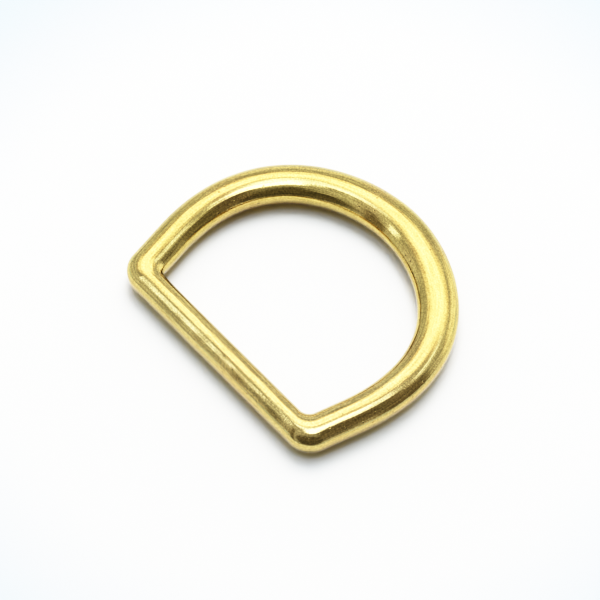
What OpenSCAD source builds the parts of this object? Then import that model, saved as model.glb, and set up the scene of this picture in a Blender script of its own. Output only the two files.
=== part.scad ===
// D ring for a 38 mm strap: one solid brass casting, lying flat.
// A straight bar carries the strap. A leg rises from each end of it, leaning a little outward, and a
// wide crown joins the legs. The metal is an oval rod, widest a little above half its thickness, and
// it grows wider from the bar to the crown.
//
// Seen from above the ring lies between two outlines, the opening and the outside. Both have the same
// stretches: half the bar, a corner arc, a straight leg, and one cubic curve up to the crown's top.
// An oval section stands on each pair of matching points, one on either outline.

/* [Opening] */
// Width of the opening along the bar, from corner to corner
opening_w = 39; // [30:0.5:56]
// Height of the opening, from the bar to the crown
opening_h = 34.7; // [28:0.1:50]
// Radius of the fillets in the two corners of the opening
inner_corner_r = 2; // [1:0.1:3]

/* [Metal] */
// Width of the bar, seen from above
bar_w = 5.4; // [4:0.1:8]
// Width of each leg, seen from above
leg_w = 6.6; // [4.5:0.1:9]
// Width of the crown at its top, seen from above
crown_w = 7.9; // [5:0.1:12]
// Thickness of the ring, from the face it lies on to the other
ring_t = 6.7; // [4.5:0.1:10]
// Height of the section's widest line, as a share of the thickness
widest_at = 0.63; // [0.4:0.01:0.7]
// Radius of the two outer corners, where the legs meet the bar
outer_corner_r = 5; // [3:0.1:6]

/* [Legs and crown] */
// Angle that each leg leans outward from the square, in degrees
leg_lean = 13; // [0:0.5:18]
// Height above the bar at which the straight part of a leg ends
leg_h = 6.2; // [4:0.1:9]
// How long the opening's curve holds to the leg's line, as a share of the crown's rise
opening_leg_pull = 0.81; // [0.5:0.01:0.9]
// How long the opening's curve runs level at its top, as a share of its half width
opening_top_pull = 0.42; // [0.3:0.01:0.7]
// The same hold to the leg's line, for the outside
outside_leg_pull = 0.71; // [0.5:0.01:0.9]
// The same level run, for the outside
outside_top_pull = 0.5; // [0.3:0.01:0.7]

/* [Hidden] */

// Sides of the oval section, and steps along each stretch of half an outline
section_sides = 36;
bar_steps = 3;
corner_steps = 8;
leg_steps = 3;
crown_steps = 30;

// The ring's middle is at the origin: the bar is at the low end of Y, the crown at the high end
ring_depth = bar_w + opening_h + crown_w;
outside_base_y = -ring_depth / 2;
outside_top_y = ring_depth / 2;
opening_base_y = outside_base_y + bar_w;
opening_top_y = outside_top_y - crown_w;
leg_top_y = opening_base_y + leg_h;

// Where the lines of bar and leg cross, on either outline: the two leg lines are leg_w apart
opening_corner_x = opening_w / 2;
outside_corner_x = opening_corner_x + leg_w / cos(leg_lean) - bar_w * tan(leg_lean);
leg_direction = [sin(leg_lean), cos(leg_lean)];

// A point on a cubic curve with two ends and two pulls, at share t of its way
function cubic(start, pull_1, pull_2, end, t) =
    pow(1 - t, 3) * start + 3 * t * pow(1 - t, 2) * pull_1
    + 3 * t * t * (1 - t) * pull_2 + pow(t, 3) * end;

// Right half of an outline, from the bar's middle to the crown's top
function half_outline(corner_x, base_y, top_y, corner_r, leg_pull, top_pull) =
    let (
        corner_turn = 90 - leg_lean,
        tangent = corner_r * tan(corner_turn / 2),
        bar_end = [corner_x - tangent, base_y],
        arc_centre = bar_end + [0, corner_r],
        leg_start = [corner_x, base_y] + tangent * leg_direction,
        leg_end = [corner_x + (leg_top_y - base_y) * tan(leg_lean), leg_top_y],
        pull_1 = leg_end + leg_pull * (top_y - leg_top_y) * leg_direction,
        pull_2 = [top_pull * leg_end.x, top_y],
        top = [0, top_y]
    )
    concat(
        [for (i = [0:bar_steps]) [bar_end.x * i / bar_steps, base_y]],
        [for (i = [1:corner_steps])
            let (a = corner_turn * i / corner_steps - 90)
            arc_centre + corner_r * [cos(a), sin(a)]],
        [for (i = [1:leg_steps]) leg_start + (leg_end - leg_start) * i / leg_steps],
        [for (i = [1:crown_steps]) cubic(leg_end, pull_1, pull_2, top, i / crown_steps)]
    );

// Whole outline: the right half, and its mirror image back down without the two shared points
function whole_outline(half) =
    concat(half, [for (i = [len(half) - 2:-1:1]) [-half[i].x, half[i].y]]);

opening_outline = whole_outline(half_outline(opening_corner_x, opening_base_y, opening_top_y,
    inner_corner_r, opening_leg_pull, opening_top_pull));
outside_outline = whole_outline(half_outline(outside_corner_x, outside_base_y, outside_top_y,
    outer_corner_r, outside_leg_pull, outside_top_pull));

// Height of a point of the section: half an ellipse over the widest line and half of one under it
function section_z(a) =
    let (widest_z = widest_at * ring_t)
    widest_z + (sin(a) > 0 ? ring_t - widest_z : widest_z) * sin(a);

// Oval section on one pair of points, started at the outside and turned over the top
function section(inside, outside) =
    let (middle = (inside + outside) / 2, reach = (outside - inside) / 2)
    [for (k = [0:section_sides - 1])
        let (a = 360 * k / section_sides, plan = middle + reach * cos(a))
        [plan.x, plan.y, section_z(a)]];

// Solid tube through a closed row of sections
module closed_tube(sections) {
    rows = len(sections);
    sides = len(sections[0]);
    points = [for (s = sections) each s];
    faces = [for (i = [0:rows - 1]) for (k = [0:sides - 1])
        let (
            row = i * sides,
            next_row = (i + 1) % rows * sides,
            next_k = (k + 1) % sides
        )
        each [
            [row + k, next_row + next_k, next_row + k],
            [row + k, row + next_k, next_row + next_k]
        ]];
    polyhedron(points, faces);
}

// The cast ring
module d_ring() {
    color("#d8b45c")
        closed_tube([for (i = [0:len(opening_outline) - 1])
            section(opening_outline[i], outside_outline[i])]);
}

d_ring();
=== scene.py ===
# %% [markdown]
# # A cast brass D ring
# The real ring is one piece of yellow brass, cast in sand and polished on a wheel. Nothing on it moves.
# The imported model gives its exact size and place. This lesson dresses it: a finer skin of the same
# shape, a polished brass, a pale floor and the soft light of a small photo tent.

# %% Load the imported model
import bpy
import math
import numpy as np
from mathutils import Matrix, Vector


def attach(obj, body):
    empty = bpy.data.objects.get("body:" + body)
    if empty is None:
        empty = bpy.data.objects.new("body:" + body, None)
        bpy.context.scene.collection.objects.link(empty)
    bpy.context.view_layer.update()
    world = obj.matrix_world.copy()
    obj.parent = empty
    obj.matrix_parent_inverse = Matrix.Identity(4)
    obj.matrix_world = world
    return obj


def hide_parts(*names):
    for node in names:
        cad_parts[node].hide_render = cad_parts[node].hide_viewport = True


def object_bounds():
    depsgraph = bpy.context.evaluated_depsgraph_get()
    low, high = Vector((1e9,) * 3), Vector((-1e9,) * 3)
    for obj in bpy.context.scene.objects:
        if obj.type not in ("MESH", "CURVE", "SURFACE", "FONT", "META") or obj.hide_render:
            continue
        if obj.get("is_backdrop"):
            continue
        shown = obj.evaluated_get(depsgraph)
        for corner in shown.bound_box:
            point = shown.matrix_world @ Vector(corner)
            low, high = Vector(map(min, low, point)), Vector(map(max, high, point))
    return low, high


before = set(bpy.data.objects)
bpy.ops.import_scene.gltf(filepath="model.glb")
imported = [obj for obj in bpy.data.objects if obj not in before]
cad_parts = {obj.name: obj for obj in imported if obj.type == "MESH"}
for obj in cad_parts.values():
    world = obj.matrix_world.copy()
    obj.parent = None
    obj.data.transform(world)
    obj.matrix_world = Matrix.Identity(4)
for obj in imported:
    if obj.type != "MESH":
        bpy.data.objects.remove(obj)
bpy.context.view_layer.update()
MM = 0.001

# %% [markdown]
# ## The ring's sizes
# The ring lies between two outlines when it is seen from above, the opening and the outside. Each
# has half a straight bar, a corner arc, a straight leg and a curve up to the crown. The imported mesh
# could be smoothed instead, but its facets would stay in the reflections. So the skin is worked out
# again, much finer, from the sizes that the model is built from.

# %% Sizes of the ring
OPENING_W = 39.0 * MM
OPENING_H = 34.7 * MM
INNER_CORNER_R = 2.0 * MM
OUTER_CORNER_R = 5.0 * MM
BAR_W = 5.4 * MM
LEG_W = 6.6 * MM
CROWN_W = 7.9 * MM
RING_T = 6.7 * MM
WIDEST_Z = 0.63 * RING_T
LEG_LEAN = math.radians(13.0)
LEG_H = 6.2 * MM
OPENING_PULLS = (0.81, 0.42)
OUTSIDE_PULLS = (0.71, 0.50)

ring_depth = BAR_W + OPENING_H + CROWN_W
outside_base_y, outside_top_y = -ring_depth / 2, ring_depth / 2
opening_base_y, opening_top_y = outside_base_y + BAR_W, outside_top_y - CROWN_W
leg_top_y = opening_base_y + LEG_H
opening_corner_x = OPENING_W / 2
outside_corner_x = opening_corner_x + LEG_W / math.cos(LEG_LEAN) - BAR_W * math.tan(LEG_LEAN)
leg_direction = np.array([math.sin(LEG_LEAN), math.cos(LEG_LEAN)])
print("depth from the sizes:", round(ring_depth / MM, 2), "mm")

# %% [markdown]
# ## The two outlines
# Lines, a round arc and a cubic curve are enough for the whole shape. Blender's curve objects could
# draw them, but worked out as arrays, both outlines get the same number of points on each stretch. So
# a point on one always has its partner on the other, across the metal.

# %% Draw the outlines
BAR_STEPS, CORNER_STEPS, LEG_STEPS, CROWN_STEPS = 110, 42, 28, 300


def half_outline(corner_x, base_y, top_y, corner_r, pulls):
    """Right half of an outline, from the bar's middle to the crown's top.
    The corner arc turns from the bar's direction to the leg's: centre + r * (cos a, sin a).
    The crown is a cubic curve: (1-t)^3 A + 3t(1-t)^2 B + 3t^2(1-t) C + t^3 D."""
    turn = math.pi / 2 - LEG_LEAN
    tangent = corner_r * math.tan(turn / 2)
    bar_end = np.array([corner_x - tangent, base_y])
    leg_start = np.array([corner_x, base_y]) + tangent * leg_direction
    leg_end = np.array([corner_x + (leg_top_y - base_y) * math.tan(LEG_LEAN), leg_top_y])
    share = np.linspace(0, 1, BAR_STEPS + 1)[:, None]
    bar = np.array([0, base_y]) * (1 - share) + bar_end * share
    a = turn * np.arange(1, CORNER_STEPS + 1) / CORNER_STEPS - math.pi / 2
    corner = bar_end + [0, corner_r] + corner_r * np.stack([np.cos(a), np.sin(a)], axis=1)
    share = (np.arange(1, LEG_STEPS + 1) / LEG_STEPS)[:, None]
    leg = leg_start * (1 - share) + leg_end * share
    t = (np.arange(1, CROWN_STEPS + 1) / CROWN_STEPS)[:, None]
    pull_1 = leg_end + pulls[0] * (top_y - leg_top_y) * leg_direction
    pull_2 = np.array([pulls[1] * leg_end[0], top_y])
    crown = ((1 - t) ** 3 * leg_end + 3 * t * (1 - t) ** 2 * pull_1
             + 3 * t ** 2 * (1 - t) * pull_2 + t ** 3 * np.array([0, top_y]))
    return np.concatenate([bar, corner, leg, crown])


def whole_outline(half):
    """The right half, then its mirror image back down, without the two points that they share."""
    return np.concatenate([half, half[-2:0:-1] * [-1, 1]])


opening_line = whole_outline(half_outline(
    opening_corner_x, opening_base_y, opening_top_y, INNER_CORNER_R, OPENING_PULLS))
outside_line = whole_outline(half_outline(
    outside_corner_x, outside_base_y, outside_top_y, OUTER_CORNER_R, OUTSIDE_PULLS))
middle_line = (opening_line + outside_line) / 2
print("stations along the ring:", len(middle_line))

# %% [markdown]
# ## Distances along and around
# The polish marks run along the metal, so the finish needs to know how far along the ring and how
# far round the section each point is. Both ways close on themselves.

# %% Measure the ring's path and its section
SECTION_SIDES = 96
steps = np.linalg.norm(np.roll(middle_line, -1, axis=0) - middle_line, axis=1)
path_length = steps.sum()
path_angle = 2 * math.pi * (np.cumsum(steps) - steps) / path_length
section_angle = 2 * math.pi * np.arange(SECTION_SIDES) / SECTION_SIDES
# the edge of a nearly round oval is about pi times the mean of its width and its thickness
section_length = math.pi * (LEG_W + RING_T) / 2
print("path", round(path_length / MM, 1), "mm, section edge", round(section_length / MM, 1), "mm")

# %% [markdown]
# ## The hand of the polisher
# A ring held against a buffing wheel never comes out perfectly true. The metal is left a few
# hundredths of a millimetre low in places, long along the ring and short across it. Noise on the
# plain distance along the ring would leave a seam where the ring closes. A sum of waves with whole
# numbers of periods closes on itself both ways.

# %% Work out the polishing waves
POLISH_DEPTH = 0.045 * MM
POLISH_WAVES = 70
FEWEST_ALONG, MOST_ALONG = 2, 33
MOST_ROUND = 5
# a wave along the ring alone is half as high once it fits this many times
HALVED_AT = 8
rng = np.random.default_rng(7)


def polish_waves(along, around):
    """Depth in metres, never above zero: a sum of cos(m * along + n * around + phase), each wave
    1 / (1 + m / HALVED_AT + |n|) high, so that short waves are lower than long ones."""
    height = np.zeros((len(along), len(around)))
    for _ in range(POLISH_WAVES):
        m = rng.integers(FEWEST_ALONG, MOST_ALONG + 1)
        n = rng.integers(-MOST_ROUND, MOST_ROUND + 1)
        phase = rng.uniform(0, 2 * math.pi)
        size = 1 / (1 + m / HALVED_AT + abs(n))
        height += size * np.cos(m * along[:, None] + n * around[None, :] + phase)
    height /= np.abs(height).max()
    return POLISH_DEPTH * (height - 1) / 2


low_spots = polish_waves(path_angle, section_angle)
print("polishing takes off up to", round(-low_spots.min() / MM, 3), "mm")

# %% [markdown]
# ## The skin
# A bevelled curve scales its section evenly, but here only the width grows towards the crown. So the
# skin is a function of two parameters on a grid. One goes along the ring, the other round the oval
# section that stands between the two outlines. The section is widest a little above half the
# thickness, so it is made of two half ellipses, one over the widest line and one under it. Each point
# is then moved inward by the depth of the polishing waves.

# %% Make the ring's skin
def ring_surface(inside, outside, depth):
    """middle + reach * cos(a) across the metal, and widest_z + height * sin(a) upwards. The height is
    what lies over the widest line where sin(a) > 0, and what lies under it elsewhere. The point is
    moved along the section's own outward direction, cos(a) / half_width and sin(a) / height, by the
    depth, which is never above zero."""
    middle = (inside + outside)[:, None, :] / 2
    reach = (outside - inside)[:, None, :] / 2
    half_width = np.linalg.norm(reach, axis=2)[:, :, None]
    ca, sa = np.cos(section_angle)[None, :, None], np.sin(section_angle)[None, :, None]
    height = np.where(sa > 0, RING_T - WIDEST_Z, WIDEST_Z)
    plan = middle + reach * ca
    flat = 0 * plan[:, :, :1]
    surface = np.concatenate([plan, WIDEST_Z + height * sa + flat], axis=2)
    outward = np.concatenate([reach / half_width * ca / half_width, sa / height + flat], axis=2)
    outward /= np.linalg.norm(outward, axis=2, keepdims=True)
    return surface + outward * depth[:, :, None]


def closed_grid_faces(rows, sides):
    """Quads of a grid that closes both ways, with their corners anticlockwise from outside."""
    i, k = np.meshgrid(np.arange(rows), np.arange(sides), indexing="ij")
    i2, k2 = (i + 1) % rows, (k + 1) % sides
    return np.stack([i * sides + k, i2 * sides + k, i2 * sides + k2, i * sides + k2],
                    axis=-1).reshape(-1, 4)


points = ring_surface(opening_line, outside_line, low_spots)
faces = closed_grid_faces(len(middle_line), SECTION_SIDES)
mesh = bpy.data.meshes.new("brass_ring")
mesh.from_pydata(points.reshape(-1, 3), [], faces)
mesh.polygons.foreach_set("use_smooth", np.ones(len(faces), bool))
mesh.update()
ring = bpy.data.objects.new("brass_ring", mesh)
bpy.context.scene.collection.objects.link(ring)
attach(ring, "root")
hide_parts("d_ring")
print("faces:", len(faces), "needed mending:", mesh.validate())

# %% [markdown]
# ## Two circles for the marks
# A UV map could hold both distances, but they jump back to zero where the ring closes, and a pattern
# on them would show that as a seam. A circle has no such jump. So each point stores its place on two
# circles, one as long as the ring and one as long as the section's edge. That makes four numbers,
# which a four dimensional noise can read.

# %% Store the two circles
path_r, section_r = path_length / (2 * math.pi) / MM, section_length / (2 * math.pi) / MM
along, around = np.meshgrid(path_angle, section_angle, indexing="ij")
circles = np.stack([path_r * np.cos(along), path_r * np.sin(along),
                    section_r * np.cos(around)], axis=-1)
mesh.attributes.new("circles", "FLOAT_VECTOR", "POINT").data.foreach_set(
    "vector", circles.reshape(-1).astype(np.float32))
mesh.attributes.new("circles_w", "FLOAT", "POINT").data.foreach_set(
    "value", (section_r * np.sin(around)).reshape(-1).astype(np.float32))
print("the two circles in mm:", round(path_r, 2), round(section_r, 2))

# %% [markdown]
# ## Helpers for the finish
# Colours are written as they would be picked on a screen, and one function turns them to the linear
# values that the renderer wants. One more adds a node with its settings and links.

# %% Colour and node helpers
def linear(hex_colour):
    """#rrggbb to linear red, green, blue and 1: c/12.92 below 0.04045, else ((c+0.055)/1.055)^2.4."""
    c = np.array([int(hex_colour[i:i + 2], 16) for i in (1, 3, 5)]) / 255
    return (*np.where(c <= 0.04045, c / 12.92, ((c + 0.055) / 1.055) ** 2.4), 1.0)


def add(tree, kind, inputs=None, **settings):
    """A node of that kind. Settings are its properties; inputs are values or sockets to link."""
    node = tree.nodes.new(kind)
    for name, value in settings.items():
        setattr(node, name, value)
    for name, value in (inputs or {}).items():
        socket = node.inputs[name]
        if isinstance(value, bpy.types.NodeSocket):
            tree.links.new(value, socket)
        else:
            socket.default_value = value
    return node


def material_tree(name):
    """A new material and its emptied node tree."""
    material = bpy.data.materials.new(name)
    material.use_nodes = True
    material.node_tree.nodes.clear()
    return material, material.node_tree


print("the grey #808080 is", round(float(linear("#808080")[0]), 3), "in linear light")

# %% [markdown]
# ## Polished cast brass: the marks along the metal
# Two kinds of marks run along the ring. Long shallow facets come from the belt that took off the
# casting skin, and fine lines from the wheel after it. An image of scratches would have to be bent
# round every corner, so both are noise on the two circles, drawn out along the ring.
# Real lines are a few hundredths of a millimetre wide. That is too fine to show from this far, so
# they are drawn about ten times as coarse.

# %% Draw the marks along the ring
LINE_WIDTH, LINE_LENGTH = 0.30, 7.0
FACET_WIDTH, FACET_LENGTH = 0.42, 70.0

brass, tree = material_tree("polished_cast_brass")
circles_xyz = add(tree, "ShaderNodeAttribute", attribute_name="circles").outputs["Vector"]
circles_w = add(tree, "ShaderNodeAttribute", attribute_name="circles_w").outputs["Fac"]


def long_marks(width, length, detail, roughness):
    """Noise with marks of that width. The circle along the ring is shrunk to width / length, which
    makes each mark that much longer than it is wide."""
    stretch = width / length
    place = add(tree, "ShaderNodeVectorMath", {0: circles_xyz, 1: (stretch, stretch, 1)},
                operation="MULTIPLY")
    return add(tree, "ShaderNodeTexNoise",
               {"Vector": place.outputs["Vector"], "W": circles_w, "Scale": 1 / width,
                "Detail": detail, "Roughness": roughness}, noise_dimensions="4D").outputs["Fac"]


lines = long_marks(LINE_WIDTH, LINE_LENGTH, detail=1.5, roughness=0.6)
facets = long_marks(FACET_WIDTH, FACET_LENGTH, detail=1.0, roughness=0.5)
print("marks along the ring are", LINE_LENGTH, "and", FACET_LENGTH, "mm long")

# %% [markdown]
# ## Polished cast brass: grain and pinholes
# Sand leaves a faint grain that the wheel doesn't quite take away, and gas in the melt leaves
# pinholes that it opens. They have no direction, so they can be read straight from the place in
# millimetres. Pinholes come in clusters, so they show only where a much larger noise is high.

# %% Scatter grain and pinholes
GRAIN_SIZE = 0.22
SPECK_SIZE = 0.30
PATCH_SIZE = 9.0
PIT_SPACING = 1.0
PIT_R = 0.19
PIT_FLAT_SHARE = 0.5
PITTED_FROM, PITTED_TO = 0.52, 0.60

in_mm = add(tree, "ShaderNodeVectorMath",
            {0: add(tree, "ShaderNodeTexCoord").outputs["Object"], 1: (1 / MM,) * 3},
            operation="MULTIPLY").outputs["Vector"]
grain = add(tree, "ShaderNodeTexNoise", {"Vector": in_mm, "Scale": 1 / GRAIN_SIZE, "Detail": 1.0},
            noise_dimensions="3D").outputs["Fac"]
speck_noise = add(tree, "ShaderNodeTexNoise",
                  {"Vector": in_mm, "Scale": 1 / SPECK_SIZE, "Detail": 1.0},
                  noise_dimensions="3D").outputs["Fac"]
patches = add(tree, "ShaderNodeTexNoise", {"Vector": in_mm, "Scale": 1 / PATCH_SIZE, "Detail": 2.0},
              noise_dimensions="3D").outputs["Fac"]
pit_cells = add(tree, "ShaderNodeTexVoronoi", {"Vector": in_mm, "Scale": 1 / PIT_SPACING},
                feature="F1")
pit_r = PIT_R / PIT_SPACING
pit_hole = add(tree, "ShaderNodeMapRange",
               {"Value": pit_cells.outputs["Distance"], "From Min": pit_r * PIT_FLAT_SHARE,
                "From Max": pit_r, "To Min": 1.0, "To Max": 0.0},
               interpolation_type="SMOOTHSTEP")
pitted = add(tree, "ShaderNodeMapRange",
             {"Value": patches, "From Min": PITTED_FROM, "From Max": PITTED_TO},
             interpolation_type="SMOOTHSTEP")
open_pits = add(tree, "ShaderNodeMath", {0: pit_hole.outputs["Result"], 1: pitted.outputs["Result"]},
                operation="MULTIPLY").outputs["Value"]
print("pinholes are", 2 * PIT_R, "mm wide, in clusters about", PATCH_SIZE, "mm apart")

# %% [markdown]
# ## Polished cast brass: the relief
# All four marks are added to one height in millimetres, and one bump turns it into the tilt of the
# reflection. They are far too shallow to change the outline, so they need no geometry. Their heights
# are guesses, chosen by how strongly the marks show in the render.

# %% Add up the relief
FACET_HEIGHT, LINE_HEIGHT, GRAIN_HEIGHT, PIT_DEPTH = 0.030, 0.010, 0.006, 0.030
relief = 0.0
for mark, high in ((facets, FACET_HEIGHT), (lines, LINE_HEIGHT), (grain, GRAIN_HEIGHT),
                   (open_pits, -PIT_DEPTH)):
    relief = add(tree, "ShaderNodeMath", {0: mark, 1: high, 2: relief},
                 operation="MULTIPLY_ADD").outputs["Value"]
bump = add(tree, "ShaderNodeBump", {"Height": relief, "Strength": 1.0, "Distance": MM})
print("heights in mm:", FACET_HEIGHT, LINE_HEIGHT, GRAIN_HEIGHT, "and pinholes", PIT_DEPTH, "deep")

# %% [markdown]
# ## Polished cast brass: the colour
# Yellow brass is about two thirds copper and one third zinc. A bare metal's colour is in its
# reflection. The tone isn't even: it is a little yellower towards the crown, and redder in patches
# where it has begun to tarnish. Both are blended in softly, because a painted edge would look like
# a stain.

# %% Mix the colour of the brass
BRASS = "#BFA768"
CROWN_BRASS = "#BFA660"
RED_BRASS = "#BE9C60"
PALE_TO_CROWN = (-0.5, 0.87, 0.0)
CROWN_FROM_MM, CROWN_TO_MM = -20.0, 0.0
RED_FROM, RED_TO, MOST_RED = 0.45, 0.7, 0.5

towards_crown = add(tree, "ShaderNodeVectorMath", {0: in_mm, 1: PALE_TO_CROWN},
                    operation="DOT_PRODUCT")
crown_share = add(tree, "ShaderNodeMapRange",
                  {"Value": towards_crown.outputs["Value"], "From Min": CROWN_FROM_MM,
                   "From Max": CROWN_TO_MM}, interpolation_type="SMOOTHSTEP")
red_share = add(tree, "ShaderNodeMapRange",
                {"Value": patches, "From Min": RED_FROM, "From Max": RED_TO, "To Min": 0.0,
                 "To Max": MOST_RED}, interpolation_type="SMOOTHSTEP")
clean_metal = add(tree, "ShaderNodeMix", {"Factor": crown_share.outputs["Result"],
                                          6: linear(BRASS), 7: linear(CROWN_BRASS)},
                  data_type="RGBA").outputs[2]
metal = add(tree, "ShaderNodeMix", {"Factor": red_share.outputs["Result"], 6: clean_metal,
                                    7: linear(RED_BRASS)}, data_type="RGBA").outputs[2]
print("tones of the brass:", BRASS, CROWN_BRASS, RED_BRASS)

# %% [markdown]
# ## Polished cast brass: what dims the reflection
# A fine scratch scatters light away from the mirror, and a pinhole traps it. Bump alone loses this at
# the scale of a pixel. So specks, streaks along the lines and the floors of the pinholes also darken
# or lighten the colour. The polish itself is nearly a mirror: the eye sees the bands of the room in
# it, a little softer along the lighter streaks.

# %% Put the brass together
NOISE_LOW, NOISE_HIGH = 0.3, 0.7
SPECK_DARK, SPECK_LIGHT = 0.73, 1.24
STREAK_DARK, STREAK_LIGHT = 0.70, 1.28
PIT_FLOOR = 0.30
POLISHED_ROUGHNESS = 0.07
SMOOTHEST, ROUGHEST = 0.8 * POLISHED_ROUGHNESS, 1.4 * POLISHED_ROUGHNESS

specks = add(tree, "ShaderNodeMapRange",
             {"Value": speck_noise, "From Min": NOISE_LOW, "From Max": NOISE_HIGH,
              "To Min": SPECK_DARK, "To Max": SPECK_LIGHT})
streaks = add(tree, "ShaderNodeMapRange",
              {"Value": lines, "From Min": NOISE_LOW, "From Max": NOISE_HIGH,
               "To Min": STREAK_DARK, "To Max": STREAK_LIGHT})
pit_shade = add(tree, "ShaderNodeMapRange",
                {"Value": open_pits, "To Min": 1.0, "To Max": PIT_FLOOR})
fine_marks = add(tree, "ShaderNodeMath",
                 {0: specks.outputs["Result"], 1: streaks.outputs["Result"]},
                 operation="MULTIPLY")
all_marks = add(tree, "ShaderNodeMath",
                {0: fine_marks.outputs["Value"], 1: pit_shade.outputs["Result"]},
                operation="MULTIPLY")
marked_metal = add(tree, "ShaderNodeVectorMath", {0: metal, "Scale": all_marks.outputs["Value"]},
                   operation="SCALE")
polish = add(tree, "ShaderNodeMapRange",
             {"Value": lines, "From Min": NOISE_LOW, "From Max": NOISE_HIGH,
              "To Min": SMOOTHEST, "To Max": ROUGHEST})
shader = add(tree, "ShaderNodeBsdfPrincipled",
             {"Base Color": marked_metal.outputs["Vector"], "Metallic": 1.0,
              "Roughness": polish.outputs["Result"], "Normal": bump.outputs["Normal"]})
add(tree, "ShaderNodeOutputMaterial", {"Surface": shader.outputs["BSDF"]})
mesh.materials.append(brass)
print("brass nodes:", len(tree.nodes))

# %% [markdown]
# ## The floor
# The ring lies on a sheet of paper that runs out of the picture. A plane would do, but a large disc
# shows no corners from any side.

# %% Lay the floor
FLOOR_R = 3.0
FLOOR_SIDES = 96
turns = 2 * math.pi * np.arange(FLOOR_SIDES) / FLOOR_SIDES
rim = np.stack([FLOOR_R * np.cos(turns), FLOOR_R * np.sin(turns), 0 * turns], axis=1)
floor_mesh = bpy.data.meshes.new("floor")
floor_mesh.from_pydata(rim, [], [tuple(range(FLOOR_SIDES))])
floor = bpy.data.objects.new("floor", floor_mesh)
bpy.context.scene.collection.objects.link(floor)
floor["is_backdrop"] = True
print("floor is", 2 * FLOOR_R, "m across")

# %% [markdown]
# ## Pale paper
# Matt paper has almost no shine, so the eye sees only its tone and the ring's soft shadow. Its colour
# holds painted light too. Beyond a painted pool of lamplight it is coloured bluer and darker. Right
# beside the metal it has painted shade, because the ring covers much of the sky there, and a painted
# warm glow, because the brass throws yellow light on it. A renderer seldom finds that light by chance.
# So ambient occlusion, which tells how much is covered close by, paints them into the paper instead.

# %% Colour the paper
FLOOR_COLOUR = "#F2F2EC"
# painted shade: the paper's colour outside the painted pool of lamplight
PAINTED_FALLOFF_COLOUR = "#C4DBE8"
POOL_R, POOL_EDGE = 0.055, 0.090
# painted shade and painted warm glow, for the paper right beside the ring
SHADE_AND_GLEAM_COLOUR = "#D8CFA8"
SHADE_AND_GLEAM_REACH = 1.2 * MM
SHADE_AND_GLEAM_SAMPLES = 4
HALF_COVERED = 0.5
PAPER_ROUGHNESS, PAPER_SHINE = 0.7, 0.2

paper, tree = material_tree("pale_paper")
from_ring = add(tree, "ShaderNodeVectorMath",
                {0: add(tree, "ShaderNodeTexCoord").outputs["Object"]}, operation="LENGTH")
# painted pool of light: outside it the paper's colour fades to the bluer, darker one
painted_falloff_share = add(tree, "ShaderNodeMapRange",
                {"Value": from_ring.outputs["Value"], "From Min": POOL_R, "From Max": POOL_EDGE},
                interpolation_type="SMOOTHSTEP")
sheet = add(tree, "ShaderNodeMix", {"Factor": painted_falloff_share.outputs["Result"], 6: linear(FLOOR_COLOUR),
                                    7: linear(PAINTED_FALLOFF_COLOUR)}, data_type="RGBA")
# painted contact shade and glow: the more is covered close by, the more the paper takes that tint
open_sky = add(tree, "ShaderNodeAmbientOcclusion", {"Distance": SHADE_AND_GLEAM_REACH},
               samples=SHADE_AND_GLEAM_SAMPLES)
beside = add(tree, "ShaderNodeMapRange",
             {"Value": open_sky.outputs["AO"], "From Min": 1.0, "From Max": HALF_COVERED})
painted_shade_and_gleam = add(tree, "ShaderNodeMix", {"Factor": beside.outputs["Result"], 6: sheet.outputs[2],
                                    7: linear(SHADE_AND_GLEAM_COLOUR)}, data_type="RGBA")
shader = add(tree, "ShaderNodeBsdfPrincipled",
             {"Base Color": painted_shade_and_gleam.outputs[2], "Roughness": PAPER_ROUGHNESS,
              "Specular IOR Level": PAPER_SHINE})
add(tree, "ShaderNodeOutputMaterial", {"Surface": shader.outputs["BSDF"]})
floor_mesh.materials.append(paper)
print("paper nodes:", len(tree.nodes))

# %% [markdown]
# ## The camera
# The photograph was taken from above with a long lens. The camera could be lined up by eye, but here
# it is placed from what was measured: how steeply it looks down, its heading, and where the middle of
# the bar falls in the picture.

# %% Place the camera
PICTURE = 600
HEADING = math.radians(49.24)
LOOK_DOWN = math.radians(56.82)
LENS_PX = 3800.0
PX_PER_M = 5.738 / MM
BAR_MIDDLE_PX = (221.7, 356.5)
SENSOR = 0.036
NEAREST_SEEN, FARTHEST_SEEN = 0.05, 20

distance = LENS_PX / PX_PER_M
right = np.array([math.cos(HEADING), math.sin(HEADING), 0])
ahead = np.array([-math.sin(HEADING) * math.cos(LOOK_DOWN),
                  math.cos(HEADING) * math.cos(LOOK_DOWN), -math.sin(LOOK_DOWN)])
up = np.cross(right, ahead)
bar_middle = np.array([0, (outside_base_y + opening_base_y) / 2, RING_T / 2])
offset = (np.array(BAR_MIDDLE_PX) - PICTURE / 2) / LENS_PX * distance
eye = bar_middle - ahead * distance - right * offset[0] + up * offset[1]
camera_data = bpy.data.cameras.new("camera")
camera_data.sensor_width = SENSOR / MM
camera_data.lens = SENSOR / MM * LENS_PX / PICTURE
camera_data.clip_start, camera_data.clip_end = NEAREST_SEEN, FARTHEST_SEEN
camera = bpy.data.objects.new("camera", camera_data)
bpy.context.scene.collection.objects.link(camera)
bpy.context.scene.camera = camera


def aim(thing, side, top, back, where):
    """Turn a camera or lamp so that its X, Y and Z point along side, top and back, and put it there."""
    thing.matrix_world = Matrix(np.vstack([np.stack([side, top, back, where], axis=1), [0, 0, 0, 1]]))


aim(camera, right, up, -ahead, eye)
print("camera", [round(float(v), 3) for v in eye], "lens", round(camera_data.lens, 1), "mm")

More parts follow.
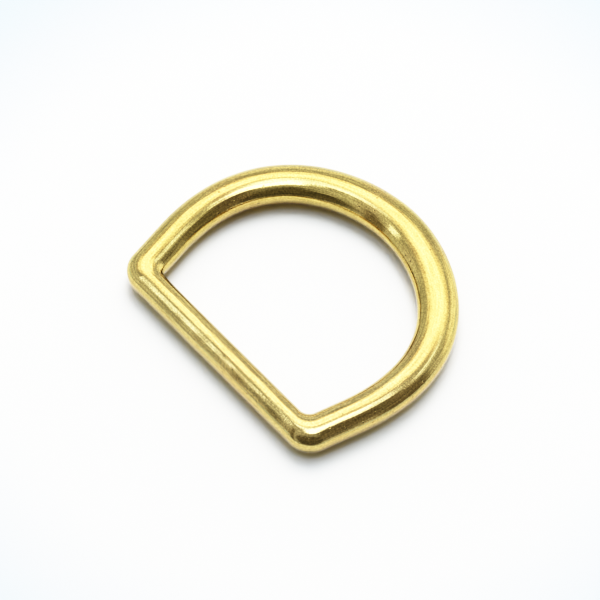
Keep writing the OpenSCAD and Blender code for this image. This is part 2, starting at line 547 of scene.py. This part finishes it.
# %% [markdown]
# ## The light of a photo tent
# A polished ring shows the room around it, so the room matters more than any lamp. Here it is a small
# white tent: pale walls, bright cloths and a lamp overhead, and a dark front, where the camera looks
# in. Beside the front hang two dark flaps. A strip on the left and a fold on the right catch light,
# and two brighter walls stand low behind the ring and to its right. Real panels could be set up round
# it, but a painted world is softer and renders sooner. Each part is a soft oval of brightness, painted
# over the ones before it. Its place is an azimuth, counted to the right from straight ahead of the
# camera, and an elevation above the floor. The ten parts are given in coarse steps. They follow a fit
# of many patches of light to the reflections in the photograph.

# %% Set out the tent
WHITE, WARM, COOL = "#FFFFFF", "#FFEEDD", "#E6F0FF"
# what it is, azimuth, elevation, width, height and tilt in degrees, softness of the edge, brightness, tint
TENT = (
    ("far cloth", 0, 55, 90, 40, 0, 0.75, 5.0, WARM),
    ("open front", 180, 35, 130, 80, 0, 0.30, 0.2, WHITE),
    ("lamp cloth", 20, 80, 50, 20, 0, 0.50, 5.5, COOL),
    ("lamp", 80, 85, 30, 30, 0, 0.50, 9.5, COOL),
    ("left strip", 275, 50, 5, 35, -35, 0.35, 5.0, COOL),
    ("right fold", 70, 55, 35, 15, 20, 0.75, 4.0, COOL),
    ("left flap", 245, 15, 20, 130, -10, 0.30, 0.35, WHITE),
    ("right flap", 115, 35, 50, 110, 0, 0.40, 0.3, WHITE),
    ("far wall", 0, -10, 90, 75, 20, 0.75, 2.0, WHITE),
    ("right wall", 60, 5, 55, 70, -20, 0.30, 2.0, WHITE),
)
WALLS = (1.2, COOL)
CEILING = (1.1, COOL)
# sine of the elevation at which the walls begin to turn into the ceiling, and at which they have
CEILING_FROM, CEILING_TO = 0.53, 0.57
BACKDROP = (1.5, WHITE)


def seen_from_ring(azimuth, elevation):
    """Unit vector towards an azimuth and elevation: (sin a cos e, cos a cos e, sin e), with a less
    by the camera's heading."""
    a, e = math.radians(azimuth) - HEADING, math.radians(elevation)
    return np.array([math.sin(a) * math.cos(e), math.cos(a) * math.cos(e), math.sin(e)])


def glow(brightness, tint):
    """Linear colour of that tint, made brighter: brightness * (red, green, blue), and 1."""
    return (*(brightness * c for c in linear(tint)[:3]), 1.0)


print("parts of the tent:", len(TENT))

# %% [markdown]
# ## Painting the tent
# The world's direction is measured from each oval's own middle, turned and squeezed so that the oval
# becomes a round ball, and a spherical gradient fades it from the middle outwards. The camera itself
# looks at a plain bright backdrop, so nothing of the tent shows behind the floor.

# %% Paint the tent
world = bpy.data.worlds.new("photo_tent")
bpy.context.scene.world = world
world.use_nodes = True
tree = world.node_tree
tree.nodes.clear()
direction = add(tree, "ShaderNodeTexCoord").outputs["Generated"]
axes = add(tree, "ShaderNodeSeparateXYZ", {"Vector": direction})
ceiling_share = add(tree, "ShaderNodeMapRange",
                    {"Value": axes.outputs["Z"], "From Min": CEILING_FROM, "From Max": CEILING_TO},
                    interpolation_type="SMOOTHSTEP")
light = add(tree, "ShaderNodeMix", {"Factor": ceiling_share.outputs["Result"], 6: glow(*WALLS),
                                    7: glow(*CEILING)}, data_type="RGBA").outputs[2]
for name, azimuth, elevation, wide, tall, tilt, softness, brightness, tint in TENT:
    centre = seen_from_ring(azimuth, elevation)
    level = math.radians(azimuth) - HEADING
    side = np.array([math.cos(level), -math.sin(level), 0])
    top = np.cross(side, centre)
    t = math.radians(tilt)
    side, top = side * math.cos(t) + top * math.sin(t), top * math.cos(t) - side * math.sin(t)
    turn = Matrix(np.stack([side, top, -centre], axis=1)).to_euler()
    size = (math.sin(math.radians(wide) / 2), math.sin(math.radians(tall) / 2), 1)
    oval = add(tree, "ShaderNodeMapping",
               {"Vector": direction, "Location": centre, "Rotation": turn, "Scale": size},
               vector_type="TEXTURE", label=name)
    falloff = add(tree, "ShaderNodeTexGradient", {"Vector": oval.outputs["Vector"]},
                  gradient_type="SPHERICAL")
    share = add(tree, "ShaderNodeMapRange", {"Value": falloff.outputs["Fac"], "From Max": softness},
                interpolation_type="SMOOTHSTEP")
    light = add(tree, "ShaderNodeMix", {"Factor": share.outputs["Result"], 6: light,
                                        7: glow(brightness, tint)}, data_type="RGBA").outputs[2]
seen = add(tree, "ShaderNodeLightPath")
light = add(tree, "ShaderNodeMix", {"Factor": seen.outputs["Is Camera Ray"], 6: light,
                                    7: glow(*BACKDROP)}, data_type="RGBA").outputs[2]
background = add(tree, "ShaderNodeBackground", {"Color": light, "Strength": 1.0})
add(tree, "ShaderNodeOutputWorld", {"Surface": background.outputs["Background"]})
print("world nodes:", len(tree.nodes))

# %% [markdown]
# ## The lamp over the floor
# The tent alone would light the paper almost evenly. One square lamp above the ring, a little behind
# it, brightens the paper and draws the ring's soft shadow towards the camera. It is kept out of the
# reflections, where the painted lamp already shows.

# %% Hang the lamp
LAMP_W = 0.22
LAMP_WATTS = 1.6
LAMP_AZIMUTH, LAMP_ELEVATION, LAMP_DISTANCE = 10, 71, 0.45

towards = seen_from_ring(LAMP_AZIMUTH, LAMP_ELEVATION)
lamp_data = bpy.data.lights.new("cloth_lamp", "AREA")
lamp_data.size = LAMP_W
lamp_data.energy = LAMP_WATTS
lamp = bpy.data.objects.new("cloth_lamp", lamp_data)
lamp.visible_glossy = False
bpy.context.scene.collection.objects.link(lamp)
lamp_side = np.cross([0, 0, 1], towards)
lamp_side /= np.linalg.norm(lamp_side)
aim(lamp, lamp_side, np.cross(towards, lamp_side), towards, towards * LAMP_DISTANCE)
print("lamp at", [round(float(v), 2) for v in towards * LAMP_DISTANCE])

# %% [markdown]
# ## The camera's contrast
# A camera does not record light evenly. It deepens the shadows and eases the brightest parts towards
# white. The brass shows this: its dark parts are a richer yellow than its bright ones. The curve's
# points could be placed by hand, but one formula keeps it smooth. The points lie closer together in
# the shadows, where the curve bends most.

# %% Set the contrast curve
BRIGHTEST = 2.0
CURVE_POINTS = 12
BRIGHT_LIGHT = 0.65
CONTRAST_POWER = 1.35


def shown_light(amount):
    """Share of white that an amount of light is shown as: 1 - exp(-(amount / BRIGHT_LIGHT) ^ power).
    An amount of BRIGHT_LIGHT is shown as 1 - 1/e, which is 63 percent of white."""
    return 1 - math.exp(-(amount / BRIGHT_LIGHT) ** CONTRAST_POWER)


view = bpy.context.scene.view_settings
view.view_transform, view.look, view.exposure, view.gamma = "Standard", "None", 0, 1
view.use_curve_mapping = True
mapping = view.curve_mapping
mapping.white_level = (BRIGHTEST,) * 3
for k in range(1, CURVE_POINTS):
    share_of_range = (k / CURVE_POINTS) ** 2
    mapping.curves[3].points.new(share_of_range, shown_light(share_of_range * BRIGHTEST))
mapping.update()
print("contrast points:", len(mapping.curves[3].points))

# %% [markdown]
# ## The visual box
# The box of the dressed ring is measured and printed. The dressed ring has to stay inside the
# imported one.

# %% Measure the visual box and finish
low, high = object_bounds()
print("visual box in mm:", [round((b - a) / MM, 2) for a, b in zip(low, high)])
